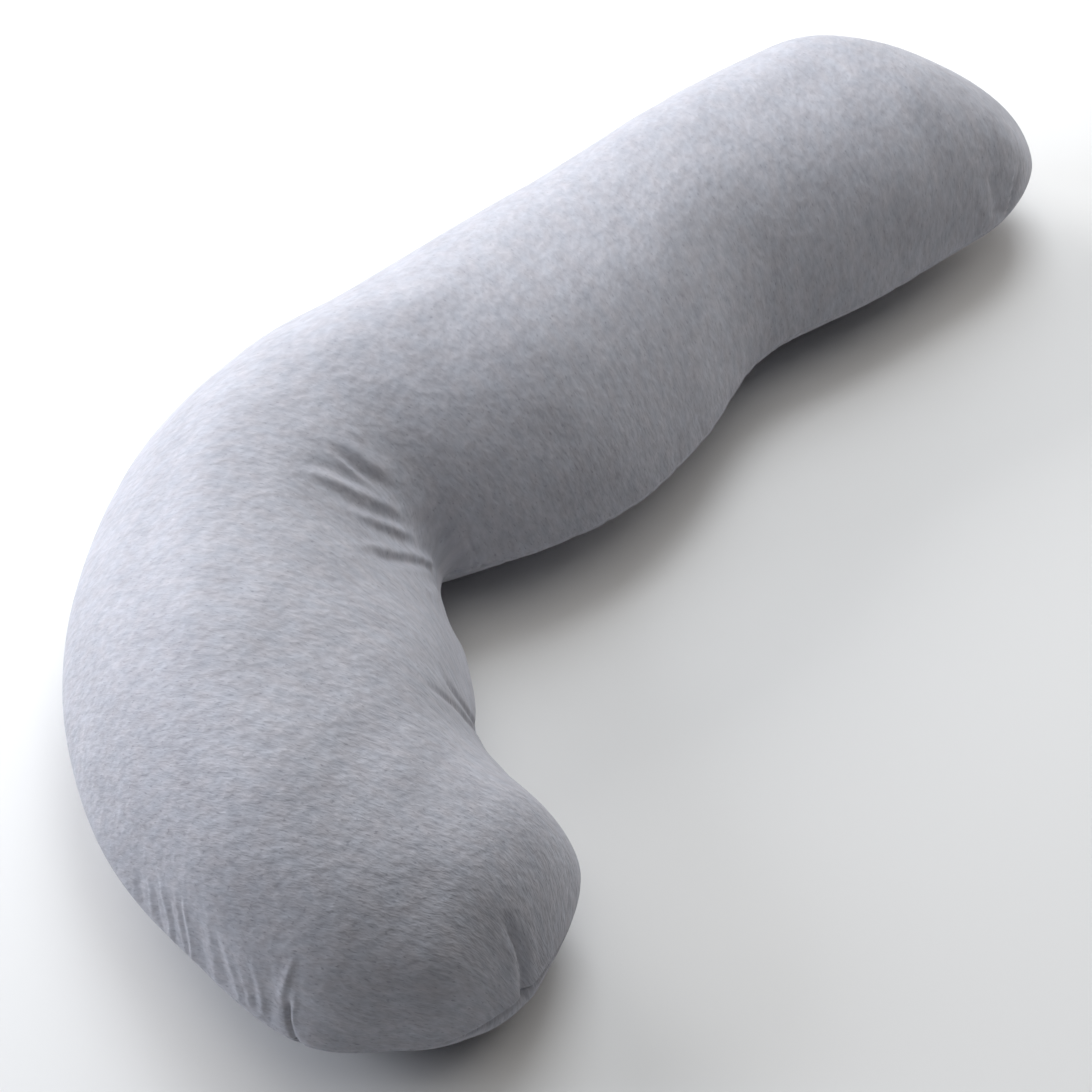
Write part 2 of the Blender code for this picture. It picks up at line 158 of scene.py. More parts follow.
def section_shape(top_steps, side_steps, floor_steps):
    """One cross section of half width 1, from the outer seam over the crown to the inner seam and back
    under. across is +1 on the outer seam and -1 on the inner, rise is +1 on the crown, 0 on the seams
    and -1 on the floor, and degrees is 0 on the outer seam, 90 on the crown and 180 on the inner."""

    def spread(angle, across, rise, seam_at_end, steps):
        hop = np.hypot(np.diff(across) * STEP_WIDTH, np.diff(rise) * STEP_HEIGHT)
        run = np.concatenate([[0.0], np.cumsum(hop)])
        gap = np.minimum(run, run[-1] - run) if seam_at_end else run
        closeness = 1 + (SEAM_CLOSENESS - 1) * np.exp(-gap / BESIDE_SEAM)
        return np.interp(even_steps(run, closeness, steps), run, angle)

    def top(angle):
        sine = np.clip(np.sin(angle), 0.0, 1.0)
        return (np.sign(np.cos(angle)) * np.abs(np.cos(angle)) ** (2 / TOP_SHOULDER),
                sine ** (2 / TOP_RISE))

    def under(angle):
        cosine = np.clip(np.cos(angle), 0.0, 1.0)
        return (FLOOR_SHARE + (1 - FLOOR_SHARE) * cosine ** (2 / UNDER_SHOULDER),
                -np.sin(angle) ** (2 / UNDER_RISE))

    fine = np.linspace(0.0, np.pi, SCALE_ROUND)
    over = spread(fine, *top(fine), True, top_steps)
    down = spread(fine / 2, *under(fine / 2), False, side_steps)[1:]
    top_across, top_rise = top(over)
    under_across, under_rise = under(down)
    under_across[-1] = FLOOR_SHARE
    floor_across = np.linspace(-FLOOR_SHARE, FLOOR_SHARE, floor_steps + 1)[1:-1]

    across = np.concatenate([top_across, -under_across, floor_across, under_across[::-1]])
    rise = np.concatenate([top_rise, under_rise, -np.ones_like(floor_across), under_rise[::-1]])
    floor_degrees = np.full(len(floor_across), 270.0)
    degrees = np.concatenate([np.degrees(over), 180 + np.degrees(down), floor_degrees,
                              360 - np.degrees(down[::-1])])
    return across, rise, degrees


Closing = namedtuple("Closing", "middle half crown fullness distance")


def rounded_end(last, before_last, end, steps):
    """The sections of one end, past the last one: the middle, half width and crown go on with the
    slopes that they have there, while half width and fullness close to nothing. A section is given as
    middle, toward_outer, half width and crown."""
    middle, toward_outer, half_width, crown = last
    hop = middle - before_last[0]
    length = np.linalg.norm(hop)
    turn = np.linspace(0.0, np.pi / 2, steps + 1)[1:]
    reach = np.sin(turn) ** (2 / end.roundness)
    distance = end.reach * reach
    middles = middle + np.outer(distance, hop / length) - np.outer(end.lean * reach**2, toward_outer)
    half_widths = half_width + (half_width - before_last[2]) / length * distance
    half_widths = half_widths * np.cos(turn) ** (2 / end.roundness)
    crowns = crown + (crown - before_last[3]) / length * distance
    return Closing(middles, half_widths, crowns, np.cos(turn) ** END_FALL, distance)


Skin = namedtuple("Skin", "points along degrees middle toward_outer")


def filled_form(spacing, end_steps, top_steps, side_steps, floor_steps):
    """The plain filled form as a grid of points [section, step round it]: each section is the cross
    section's shape, scaled by the half width and the crown, and set across the middle line."""
    along, outer, inner, crown = sections_along(spacing)
    middle = (outer + inner) / 2
    half = np.linalg.norm(outer - inner, axis=1) / 2
    toward_outer = (outer - inner) / (2 * half[:, None])

    rows = list(zip(middle, toward_outer, half, crown))
    foot = rounded_end(rows[0], rows[1], FOOT_END, end_steps)
    far = rounded_end(rows[-1], rows[-2], FAR_END, end_steps)

    middle = np.vstack([foot.middle[::-1], middle, far.middle])
    half = np.concatenate([foot.half[::-1], half, far.half])
    crown = np.concatenate([foot.crown[::-1], crown, far.crown])
    fullness = np.concatenate([foot.fullness[::-1], np.ones(len(along)), far.fullness])
    toward_outer = np.pad(toward_outer, ((end_steps, end_steps), (0, 0)), mode="edge")
    along = np.concatenate([-foot.distance[::-1], along, along[-1] + far.distance])

    across, rise, degrees = section_shape(top_steps, side_steps, floor_steps)
    seam = SEAM_RISE * crown
    span = np.where(rise > 0, (crown - seam)[:, None], seam[:, None])
    plan = middle[:, None, :] + (half[:, None] * across)[..., None] * toward_outer[:, None, :]
    height = seam[:, None] + fullness[:, None] * rise * span
    return Skin(np.dstack([plan, height]), along, degrees, middle, toward_outer)


def outward_directions(points):
    """Unit normals of the grid's points, from the differences to the neighbours."""
    round_step = np.roll(points, -1, axis=1) - np.roll(points, 1, axis=1)
    normals = np.cross(round_step, np.gradient(points, axis=0))
    return normals / np.maximum(np.linalg.norm(normals, axis=2, keepdims=True), NEARLY_ZERO)


# Places on the skin are given as along and across, in metres: along from the foot section on the
# middle line, and across from the crown line, round the section and + towards the inner edge.
Round = namedtuple("Round", "run across seam_gap")


def places_round(points, degrees, top_steps):
    """For each grid point, the way to it round its section from the outer seam, its place across, and
    its distance from the nearer seam. run has one more column, which closes the section."""
    hop = np.linalg.norm(np.roll(points, -1, axis=1) - points, axis=2)
    run = np.concatenate([np.zeros((len(points), 1)), np.cumsum(hop, axis=1)], axis=1)
    girth = np.maximum(run[:, -1:], NEARLY_ZERO)
    crown = int(np.argmin(np.abs(degrees - 90)))
    across = (run - run[:, crown:crown + 1])[:, :-1]
    across = (across + girth / 2) % girth - girth / 2
    way = run[:, :-1]
    to_inner_seam = np.abs(way - way[:, top_steps:top_steps + 1])
    seam_gap = np.minimum(np.minimum(way, girth - way), to_inner_seam)
    return Round(run, across, seam_gap)


# Where the fibre filling stands fuller, or slacker, than the plain form. Near the seams and the floor
# the skin is held, within the distances below the table.
Swell = namedtuple("Swell", "name along across reach_along reach_across height")
SWELLS = (
    Swell("foot_top",        -0.022,  0.030, 0.030, 0.036, -0.0030),
    Swell("foot_tip",        -0.015, -0.035, 0.047, 0.086, -0.0120),
    Swell("foot_side",       -0.006, -0.100, 0.035, 0.035,  0.0075),
    Swell("foot_shoulder",   -0.005, -0.140, 0.045, 0.045,  0.0035),
    Swell("foot_hollow",      0.000, -0.010, 0.030, 0.035,  0.0023),
    Swell("pinch_hollow",     0.070, -0.180, 0.035, 0.022, -0.0050),
    Swell("foot_neck",        0.072,  0.045, 0.035, 0.060,  0.0055),
    Swell("pucker_hollow",    0.095, -0.130, 0.030, 0.025, -0.0020),
    Swell("foot_saddle",      0.100,  0.020, 0.045, 0.060, -0.0021),
    Swell("hook_shoulder",    0.100, -0.100, 0.120, 0.080,  0.0132),
    Swell("hook_low",         0.120, -0.145, 0.050, 0.035,  0.0062),
    Swell("hook_front",       0.150,  0.040, 0.050, 0.045, -0.0030),
    Swell("hook_middle",      0.170, -0.015, 0.060, 0.050, -0.0021),
    Swell("hook_inner",       0.200,  0.130, 0.050, 0.045,  0.0026),
    Swell("hook_outer",       0.230, -0.130, 0.060, 0.040,  0.0033),
    Swell("hook_crown",       0.255, -0.030, 0.095, 0.065,  0.0096),
    Swell("corner_shoulder",  0.320,  0.175, 0.070, 0.035,  0.0049),
    Swell("hook_rim",         0.330, -0.150, 0.110, 0.035, -0.0015),
    Swell("corner_pocket",    0.345,  0.140, 0.030, 0.035, -0.0039),
    Swell("bend_shoulder",    0.370, -0.080, 0.090, 0.035, -0.0087),
    Swell("fan_hollow",       0.400,  0.080, 0.050, 0.045, -0.0042),
    Swell("bend_outer",       0.415, -0.125, 0.070, 0.050, -0.0062),
    Swell("arm_root",         0.500,  0.160, 0.050, 0.040, -0.0016),
    Swell("bend_hollow",      0.530,  0.090, 0.040, 0.070, -0.0046),
    Swell("belly_shoulder",   0.620, -0.025, 0.085, 0.050,  0.0083),
    Swell("belly_rim",        0.650,  0.190, 0.090, 0.035,  0.0019),
    Swell("belly",            0.700,  0.050, 0.060, 0.107,  0.0065),
    Swell("arm_top",          0.800, -0.080, 0.150, 0.050, -0.0012),
    Swell("end_top",          1.050, -0.050, 0.100, 0.060,  0.0034),
    Swell("thigh",            1.135,  0.130, 0.070, 0.060,  0.0062),
    Swell("far_corner",       1.250,  0.125, 0.040, 0.050,  0.0084),
)
HELD_BY_SEAM = 0.028
HELD_BY_FLOOR = 0.030


def swell_relief(swells, skin, place):
    """Height of the swells over the plain form: a bell shape each, flattened to nothing at the seams."""
    height = np.zeros(place.across.shape)
    for swell in swells:
        along = (skin.along[:, None] - swell.along) / swell.reach_along
        across = (place.across - swell.across) / swell.reach_across
        height += swell.height * np.exp(-(along**2) - across**2)
    return height * (1 - np.exp(-((place.seam_gap / HELD_BY_SEAM) ** 2)))


# Folds in the skin: + stands up as a ridge, - is pressed in as a trough. Left and right are its half
# widths on either side, seen from outside along the line. The line runs through its places, given as
# (along, across). It fades at its free ends, and keeps its height where it runs into a seam.
Fold = namedtuple("Fold", "name left right height to_seam places")
FOLDS = (
    Fold("fan_0",             0.0035, 0.0035,  0.0010, False,
         ((0.492, 0.047), (0.495, 0.059), (0.496, 0.072))),
    Fold("fan_1",             0.0080, 0.0055,  0.0021, False,
         ((0.476, 0.036), (0.474, 0.051), (0.474, 0.064), (0.473, 0.076), (0.475, 0.089),
          (0.480, 0.101), (0.486, 0.113))),
    Fold("fan_1_trough",      0.0059, 0.0049, -0.0025, False,
         ((0.463, 0.050), (0.460, 0.066), (0.457, 0.080), (0.457, 0.094), (0.463, 0.112),
          (0.470, 0.126))),
    Fold("fan_2",             0.0025, 0.0028,  0.0017, False,
         ((0.456, 0.045), (0.453, 0.062), (0.450, 0.075), (0.447, 0.087), (0.445, 0.100),
          (0.446, 0.110))),
    Fold("fan_2_trough",      0.0070, 0.0049, -0.0020, False,
         ((0.427, 0.028), (0.429, 0.042), (0.433, 0.053), (0.436, 0.064), (0.437, 0.077),
          (0.438, 0.089), (0.442, 0.101), (0.448, 0.112))),
    Fold("fan_3",             0.0060, 0.0042,  0.0028, False,
         ((0.412, 0.028), (0.416, 0.045), (0.419, 0.058), (0.420, 0.070), (0.421, 0.084),
          (0.425, 0.100), (0.431, 0.115), (0.438, 0.128), (0.446, 0.140), (0.456, 0.153))),
    Fold("fan_3_trough",      0.0049, 0.0065, -0.0022, False,
         ((0.410, 0.046), (0.409, 0.060), (0.407, 0.074), (0.404, 0.089), (0.404, 0.101),
          (0.407, 0.111), (0.412, 0.121), (0.418, 0.134), (0.427, 0.148), (0.437, 0.160))),
    Fold("fan_4",             0.0052, 0.0042,  0.0027, False,
         ((0.388, 0.078), (0.390, 0.093), (0.391, 0.105), (0.394, 0.116), (0.400, 0.128),
          (0.408, 0.141), (0.421, 0.155), (0.434, 0.167))),
    Fold("fan_4_trough",      0.0048, 0.0065, -0.0019, False,
         ((0.382, 0.092), (0.381, 0.106), (0.382, 0.120), (0.386, 0.134), (0.393, 0.147),
          (0.404, 0.160), (0.416, 0.172))),
    Fold("fan_5",             0.0060, 0.0042,  0.0029, True,
         ((0.330, 0.088), (0.337, 0.105), (0.345, 0.120), (0.353, 0.135), (0.363, 0.150),
          (0.380, 0.168), (0.404, 0.186))),
    Fold("fan_5_trough",      0.0045, 0.0065, -0.0021, True,
         ((0.326, 0.105), (0.333, 0.122), (0.340, 0.138), (0.351, 0.157), (0.368, 0.175),
          (0.385, 0.188))),
    Fold("fan_6",             0.0085, 0.0055,  0.0022, True,
         ((0.310, 0.130), (0.325, 0.147), (0.341, 0.163), (0.359, 0.178), (0.376, 0.190))),
    Fold("fan_7",             0.0050, 0.0080,  0.0019, True,
         ((0.286, 0.165), (0.315, 0.184), (0.340, 0.198))),
    Fold("hook_crease",       0.0028, 0.0036, -0.0026, True,
         ((0.1700, 0.139), (0.1475, 0.146), (0.1320, 0.152), (0.1170, 0.164), (0.1045, 0.181),
          (0.0970, 0.208))),
    Fold("hook_crease_2",     0.0026, 0.0048, -0.0026, True,
         ((0.1425, 0.107), (0.1260, 0.114), (0.1120, 0.130), (0.1010, 0.149), (0.0875, 0.170),
          (0.0840, 0.205))),
    Fold("pinch",             0.0024, 0.0032,  0.0017, False,
         ((0.0735, -0.128), (0.0748, -0.138), (0.0758, -0.152), (0.0779, -0.169), (0.0791, -0.184))),
    Fold("pinch_pit",         0.0022, 0.0020, -0.0036, True,
         ((0.0742, -0.162), (0.0736, -0.179), (0.0718, -0.190), (0.0655, -0.208))),
    Fold("pinch_beside",      0.0018, 0.0023,  0.0013, True,
         ((0.0720, -0.148), (0.0701, -0.161), (0.0699, -0.168), (0.0715, -0.178), (0.0712, -0.187),
          (0.0683, -0.199))),
    Fold("pucker_0",          0.0030, 0.0025,  0.0005, True,
         ((0.1910, -0.198), (0.1845, -0.221))),
    Fold("pucker_0_trough",   0.0045, 0.0045, -0.0008, True,
         ((0.1865, -0.186), (0.1823, -0.204), (0.1772, -0.217))),
    Fold("pucker_1",          0.0030, 0.0022,  0.0006, True,
         ((0.1780, -0.182), (0.1740, -0.194), (0.1680, -0.217))),
    Fold("pucker_1_trough",   0.0030, 0.0030, -0.0009, True,
         ((0.1715, -0.184), (0.1671, -0.199), (0.1582, -0.221))),
    Fold("pucker_2",          0.0035, 0.0020,  0.0009, True,
         ((0.1705, -0.162), (0.1657, -0.177), (0.1606, -0.191), (0.1551, -0.204), (0.1516, -0.222))),
    Fold("pucker_2_trough",   0.0025, 0.0030, -0.0008, True,
         ((0.1575, -0.176), (0.1537, -0.192), (0.1466, -0.220))),
    Fold("pucker_3",          0.0026, 0.0018,  0.0007, True,
         ((0.1556, -0.158), (0.1524, -0.172), (0.1487, -0.185), (0.1461, -0.197), (0.1396, -0.216))),
    Fold("pucker_3_trough",   0.0020, 0.0022, -0.0007, True,
         ((0.1472, -0.173), (0.1439, -0.188), (0.1375, -0.216))),
    Fold("pucker_4",          0.0026, 0.0019,  0.0010, True,
         ((0.1490, -0.148), (0.1445, -0.169), (0.1411, -0.184), (0.1373, -0.199), (0.1346, -0.216))),
    Fold("pucker_4_trough",   0.0055, 0.0050, -0.0011, True,
         ((0.1340, -0.162), (0.1309, -0.182), (0.1294, -0.197), (0.1245, -0.212))),
    Fold("pucker_5",          0.0040, 0.0030,  0.0006, True,
         ((0.1256, -0.146), (0.1239, -0.165), (0.1230, -0.183), (0.1207, -0.193), (0.1171, -0.214))),
    Fold("pucker_5_trough",   0.0042, 0.0042, -0.0010, True,
         ((0.1210, -0.153), (0.1179, -0.170), (0.1149, -0.186), (0.1100, -0.204))),
    Fold("pucker_6",          0.0030, 0.0028,  0.0007, True,
         ((0.1170, -0.158), (0.1131, -0.170), (0.1075, -0.188), (0.1018, -0.206))),
    Fold("pucker_7",          0.0028, 0.0020,  0.0008, True,
         ((0.1034, -0.167), (0.1019, -0.181), (0.0987, -0.189), (0.0958, -0.201))),
    Fold("pucker_7_trough",   0.0025, 0.0025, -0.0007, True,
         ((0.0970, -0.166), (0.0947, -0.180), (0.0915, -0.198))),
    Fold("pucker_8",          0.0028, 0.0022,  0.0007, True,
         ((0.0966, -0.154), (0.0934, -0.168), (0.0909, -0.180), (0.0878, -0.197))),
    Fold("pucker_8_trough",   0.0060, 0.0055, -0.0011, True,
         ((0.0872, -0.138), (0.0856, -0.158), (0.0850, -0.176), (0.0832, -0.199))),
    Fold("pucker_far",        0.0030, 0.0020,  0.0004, True,
         ((0.2150, -0.198), (0.2090, -0.222))),
    Fold("foot_ridge",        0.0030, 0.0100,  0.0012, True,
         ((-0.0430, -0.047), (-0.0505, -0.056), (-0.0545, -0.062), (-0.0575, -0.069),
          (-0.0595, -0.080), (-0.0600, -0.104))),
    Fold("foot_trough",       0.0058, 0.0019, -0.0050, True,
         ((-0.0450, -0.043), (-0.0491, -0.049), (-0.0535, -0.054), (-0.0570, -0.059),
          (-0.0592, -0.064), (-0.0609, -0.071), (-0.0621, -0.081), (-0.0630, -0.096))),
    Fold("foot_ridge_2",      0.0030, 0.0030,  0.0008, True,
         ((-0.0540, -0.026), (-0.0611, -0.037), (-0.0647, -0.047), (-0.0658, -0.058))),
    Fold("foot_trough_2",     0.0030, 0.0025, -0.0010, True,
         ((-0.0600, -0.030), (-0.0662, -0.041), (-0.0684, -0.048), (-0.0697, -0.057))),
    Fold("foot_soft",         0.0045, 0.0035,  0.0018, True,
         ((-0.0035, -0.130), (-0.0095, -0.150), (-0.0135, -0.170))),
    Fold("far_trough_1",      0.0055, 0.0026, -0.0036, True,
         ((1.2110, 0.160), (1.2075, 0.178), (1.2030, 0.205))),
    Fold("far_ridge_2",       0.0028, 0.0036,  0.0036, True,
         ((1.2405, 0.146), (1.2365, 0.163), (1.2290, 0.182), (1.2200, 0.200))),
    Fold("far_trough_2",      0.0055, 0.0023, -0.0046, True,
         ((1.2425, 0.158), (1.2390, 0.172), (1.2320, 0.189), (1.2220, 0.205))),
    Fold("far_ridge_3",       0.0040, 0.0040,  0.0014, True,
         ((1.1900, 0.188), (1.1850, 0.210))),
    Fold("foot_under_seam",   0.0090, 0.0090,  0.0045, False,
         ((-0.0745, -0.053), (-0.0700, -0.080), (-0.0650, -0.099), (-0.0600, -0.116),
          (-0.0510, -0.139), (-0.0400, -0.159), (-0.0300, -0.171))),
    Fold("hook_under_seam",   0.0090, 0.0090,  0.0045, False,
         ((0.2600, 0.238), (0.2200, 0.239), (0.1800, 0.236), (0.1400, 0.230), (0.1100, 0.223))),
)
FADE = 0.38              # share of a fold's length over which it rises from a free end
POINTS_ON_FOLD = 36
FOLD_REACH = 3           # half widths from the line within which a fold is worked out


def fold_line(fold, skin, place):
    """The fold's line on the skin. The places along and across follow cubic curves through the
    table's, and each is read between the grid's points."""
    stops = np.array(fold.places)
    knots = np.arange(len(stops), dtype=float)
    slopes = np.gradient(stops, axis=0)
    t = np.linspace(0.0, knots[-1], POINTS_ON_FOLD)
    row = np.minimum(t.astype(int), len(stops) - 2)
    u = (t - row)[:, None]
    path = ((2 * u**3 - 3 * u**2 + 1) * stops[row] + (u**3 - 2 * u**2 + u) * slopes[row]
            + (3 * u**2 - 2 * u**3) * stops[row + 1] + (u**3 - u**2) * slopes[row + 1])

    closed = np.concatenate([skin.points, skin.points[:, :1]], axis=1)
    crown = int(np.argmin(np.abs(skin.degrees - 90)))
    section = np.interp(path[:, 0], skin.along, np.arange(len(skin.along)))
    low = np.minimum(section.astype(int), len(skin.along) - 2)
    line = np.zeros((POINTS_ON_FOLD, 3))
    for number, (first, share, across) in enumerate(zip(low, section - low, path[:, 1])):
        for nearby, weight in ((first, 1 - share), (first + 1, share)):
            run = place.run[nearby]
            way = (across + run[crown]) % max(run[-1], NEARLY_ZERO)
            here = np.array([np.interp(way, run, closed[nearby, :, axis]) for axis in range(3)])
            line[number] += weight * here
    return line


def fold_relief(fold, skin, place, outward):
    """Height of the skin over its plain form beside one fold: a bell shape across its line, with a
    width of its own on either side. Distances are measured to the line's straight pieces."""
    line = fold_line(fold, skin, place)
    reach = FOLD_REACH * max(fold.left, fold.right)
    low, high = line.min(axis=0) - reach, line.max(axis=0) + reach
    near = np.all((skin.points > low) & (skin.points < high), axis=2)
    points = skin.points[near]

    start = line[:-1]
    piece = line[1:] - start
    offset = points[:, None, :] - start
    share = np.clip((offset * piece).sum(axis=2) / (piece**2).sum(axis=1), 0.0, 1.0)
    gap = np.linalg.norm(offset - share[..., None] * piece, axis=2)
    nearest = gap.argmin(axis=1)
    each = np.arange(len(points))
    distance = gap[each, nearest]
    leftward = np.cross(outward[near], piece[nearest])
    on_left = (leftward * offset[each, nearest]).sum(axis=1) > 0

    run = (nearest + share[each, nearest]) / len(piece)
    rising = np.clip(run / FADE, 0.0, 1.0)
    falling = np.ones_like(run) if fold.to_seam else np.clip((1 - run) / FADE, 0.0, 1.0)
    strength = (3 - 2 * rising) * rising**2 * (3 - 2 * falling) * falling**2
    half_width = np.where(on_left, fold.left, fold.right)
    relief = np.zeros(skin.points.shape[:2])
    relief[near] = fold.height * strength * np.exp(-((distance / half_width) ** 2))
    return relief


# Loose fibre never fills a cover evenly, so the whole skin has low soft lumps.
LUMP_HEIGHT = 0.00017
LUMP_WIDTH = 0.065
LUMP_STRETCH = (0.7, 1.8)
LUMP_WAVES = 24
LUMP_SEED = 11


def lump_relief(skin, place):
    """Height of the lumps: a sum of flat waves over along and across, each with a direction, a length
    near the lumps' width and a phase of its own, always drawn from the same seed."""
    chance = np.random.default_rng(LUMP_SEED)
    height = np.zeros(place.across.shape)
    least = (0.0, 0.0, LUMP_STRETCH[0])
    most = (np.pi, 2 * np.pi, LUMP_STRETCH[1])
    for turn, start, stretch in chance.uniform(least, most, (LUMP_WAVES, 3)):
        way = skin.along[:, None] * np.cos(turn) + place.across * np.sin(turn)
        height += np.cos(2 * np.pi * way / (LUMP_WIDTH * stretch) + start)
    return LUMP_HEIGHT * height / math.sqrt(LUMP_WAVES / 2)


# Small puckers along the seams that the photograph hides, where the thread has drawn in the cloth:
# (seam, first and last place along it). They run from the seam into both panels.
HIDDEN_SEAMS = (("outer", 0.44, 1.16), ("inner", 0.52, 1.14))
PUCKER_SPACING = 0.024
PUCKER_REACH = 0.028
PUCKER_DEPTH = 0.0014
PUCKER_HALF_WIDTH = 0.0045
PUCKER_SHIFT = 0.009     # farthest from its even place
PUCKER_WEAKEST = 0.2     # share of the full depth
PUCKER_SLANT = 0.5       # farthest along the seam, per metre from it
PUCKER_SEED = 5


def pucker_relief(skin, place):
    """Height of the hidden seams' puckers, which are all troughs: bell shapes along the seam that fade
    with the distance from it. Their places, depths and slants come from a fixed seed."""
    chance = np.random.default_rng(PUCKER_SEED)
    least = (-PUCKER_SHIFT, PUCKER_WEAKEST, -PUCKER_SLANT)
    most = (PUCKER_SHIFT, 1.0, PUCKER_SLANT)
    depth = np.zeros(place.across.shape)
    for seam, first, last in HIDDEN_SEAMS:
        side = (place.across < 0) if seam == "outer" else (place.across > 0)
        for centre in np.arange(first, last, PUCKER_SPACING):
            shift, strength, slant = chance.uniform(least, most)
            offset = skin.along[:, None] - centre - shift - slant * place.seam_gap
            depth += side * strength * np.exp(-((offset / PUCKER_HALF_WIDTH) ** 2))
    return -PUCKER_DEPTH * depth * np.exp(-((place.seam_gap / PUCKER_REACH) ** 2))


# The seam sits in a narrow groove between the two rounded panels.
SEAM_GROOVE = 0.0020
SEAM_HALF_WIDTH = 0.0020


def closed_skin(name, points, knit):
    """A mesh of the grid's squares, with each end closed to one point. knit gives, for the top and the
    under panel, where each grid point lies on the flat knit, and goes into the UV map of that name."""
    sections, steps = points.shape[:2]
    body = points[1:-1].reshape(-1, 3)
    vertices = np.vstack([body, points[0].mean(axis=0), points[-1].mean(axis=0)])
    corner = np.arange((sections - 2) * steps).reshape(sections - 2, steps)
    beside = np.roll(corner, -1, axis=1)
    quads = np.stack([corner[:-1], beside[:-1], beside[1:], corner[1:]], axis=-1).reshape(-1, 4)
    foot_fan = np.stack([beside[0], corner[0], np.full(steps, len(body))], axis=-1)
    far_fan = np.stack([corner[-1], beside[-1], np.full(steps, len(body) + 1)], axis=-1)

    mesh = bpy.data.meshes.new(name)
    mesh.from_pydata(vertices.tolist(), [], quads.tolist() + foot_fan.tolist() + far_fan.tolist())
    mesh.shade_smooth()

    step_of_quad = np.tile(np.arange(steps), sections - 3)
    panel_of_quad = (step_of_quad >= TOP_STEPS).astype(int)
    panel_of_fan = (np.arange(steps) >= TOP_STEPS).astype(int)
    panel = np.concatenate([np.repeat(panel_of_quad, 4), np.repeat(np.tile(panel_of_fan, 2), 3)])
    place = np.empty(len(mesh.loops), dtype=np.int32)
    mesh.loops.foreach_get("vertex_index", place)
    flat = np.stack([
        np.vstack([laid[1:-1].reshape(-1, 2), laid[0].mean(axis=0), laid[-1].mean(axis=0)])
        for laid in knit
    ])
    layer = mesh.uv_layers.new(name="knit")
    layer.data.foreach_set("uv", flat[panel, place].ravel())
    return mesh


# The panel is cut from one width of cloth, so the knit's rows lie one way over the hook: along it and
# towards the foot. Round the bend the filling has pulled them straight across the arm.
ROWS_ON_HOOK = (-0.42, 0.52)     # x where the turn begins, and the lean of the rows there
ROWS_ON_ARM = (0.00, -0.09)      # x where the turn ends, and the lean of the rows there
ARM_MIDDLE_Y = 0.150
ACROSS_PER_X = 0.92              # metres across and along the rows, per metre on the floor
ALONG_PER_X = 0.30
ALONG_PER_Y = -0.92


def place_on_knit(skin, across, girth, under):
    """Where each grid point lies on the flat cloth, in metres across and along the knit's rows. The
    skin is laid flat first: the middle line, lengthened by the crown's fall over the ends, plus the way
    round from the crown line (or, for the under panel, from the middle of the floor) set across it."""
    crown_line = skin.points[:, int(np.argmin(np.abs(skin.degrees - 90)))]
    hop = np.diff(skin.middle, axis=0)
    hop_length = np.maximum(np.linalg.norm(hop, axis=1), NEARLY_ZERO)
    stretch = np.linalg.norm(np.diff(crown_line, axis=0), axis=1) / hop_length
    middle = skin.middle[0] + np.vstack([np.zeros(2), np.cumsum(hop * stretch[:, None], axis=0)])

    way = -across
    if under:
        way = np.where(across > 0, across, across + girth) - girth / 2
    x = middle[:, 0:1] + way * skin.toward_outer[:, 0:1]
    y = middle[:, 1:2] + way * skin.toward_outer[:, 1:2]
    share = np.clip((x - ROWS_ON_HOOK[0]) / (ROWS_ON_ARM[0] - ROWS_ON_HOOK[0]), 0.0, 1.0)
    lean = ROWS_ON_HOOK[1] + (ROWS_ON_ARM[1] - ROWS_ON_HOOK[1]) * (3 - 2 * share) * share**2
    across_rows = ACROSS_PER_X * x + lean * (y - ARM_MIDDLE_Y)
    along_rows = ALONG_PER_X * x + ALONG_PER_Y * y
    return np.dstack([across_rows, along_rows])


skin = filled_form(SPACING, STEPS_IN_END, TOP_STEPS, SIDE_STEPS, FLOOR_STEPS)
place = places_round(skin.points, skin.degrees, TOP_STEPS)
outward = outward_directions(skin.points)
relief = swell_relief(SWELLS, skin, place)
relief += sum(fold_relief(fold, skin, place, outward) for fold in FOLDS)
relief += lump_relief(skin, place) + pucker_relief(skin, place)
relief -= SEAM_GROOVE * np.exp(-((place.seam_gap / SEAM_HALF_WIDTH) ** 2))
relief *= np.clip(skin.points[:, :, 2] / HELD_BY_FLOOR, 0.0, 1.0)
points = skin.points + relief[..., None] * outward
centre = (points.reshape(-1, 3).min(axis=0) + points.reshape(-1, 3).max(axis=0)) / 2
points[:, :, 0:2] -= centre[0:2]

girth = place.run[:, -1:]
knit = [place_on_knit(skin, place.across, girth, under) for under in (False, True)]
pillow_cover = bpy.data.objects.new("pillow_cover", closed_skin("pillow_cover", points, knit))
scene.collection.objects.link(pillow_cover)


class Socket:
    """A socket of a material. Arithmetic on sockets and numbers adds Math nodes, and node() adds any
    other kind, its settings first and then the values or links of its sockets."""

    def __init__(self, tree, socket=None):
        self.tree = tree
        self.socket = socket

    def node(self, kind, settings=None, sockets=None, out=0):
        made = self.tree.nodes.new(kind)
        for name, value in (settings or {}).items():
            setattr(made, name, value)
        self.feed(made, sockets or {})
        return Socket(self.tree, made.outputs[out])

    def feed(self, node, sockets):
        for name, value in sockets.items():
            if isinstance(value, Socket):
                self.tree.links.new(value.socket, node.inputs[name])
            else:
                node.inputs[name].default_value = value

    def math(self, operation, left, right, clamp=False):
        settings = {"operation": operation, "use_clamp": clamp}
        return self.node("ShaderNodeMath", settings, {0: left, 1: right})

    def __add__(self, other):
        return self.math("ADD", self, other)

    def __sub__(self, other):
        return self.math("SUBTRACT", self, other)

    def __mul__(self, other):
        return self.math("MULTIPLY", self, other)


PALE_YARN = (0.500, 0.503, 0.550, 1.0)
DARK_YARN = (0.305, 0.308, 0.345, 1.0)
WARM_TINT = (1.014, 0.995, 0.985, 1.0)
COOL_TINT = (0.988, 1.003, 1.015, 1.0)

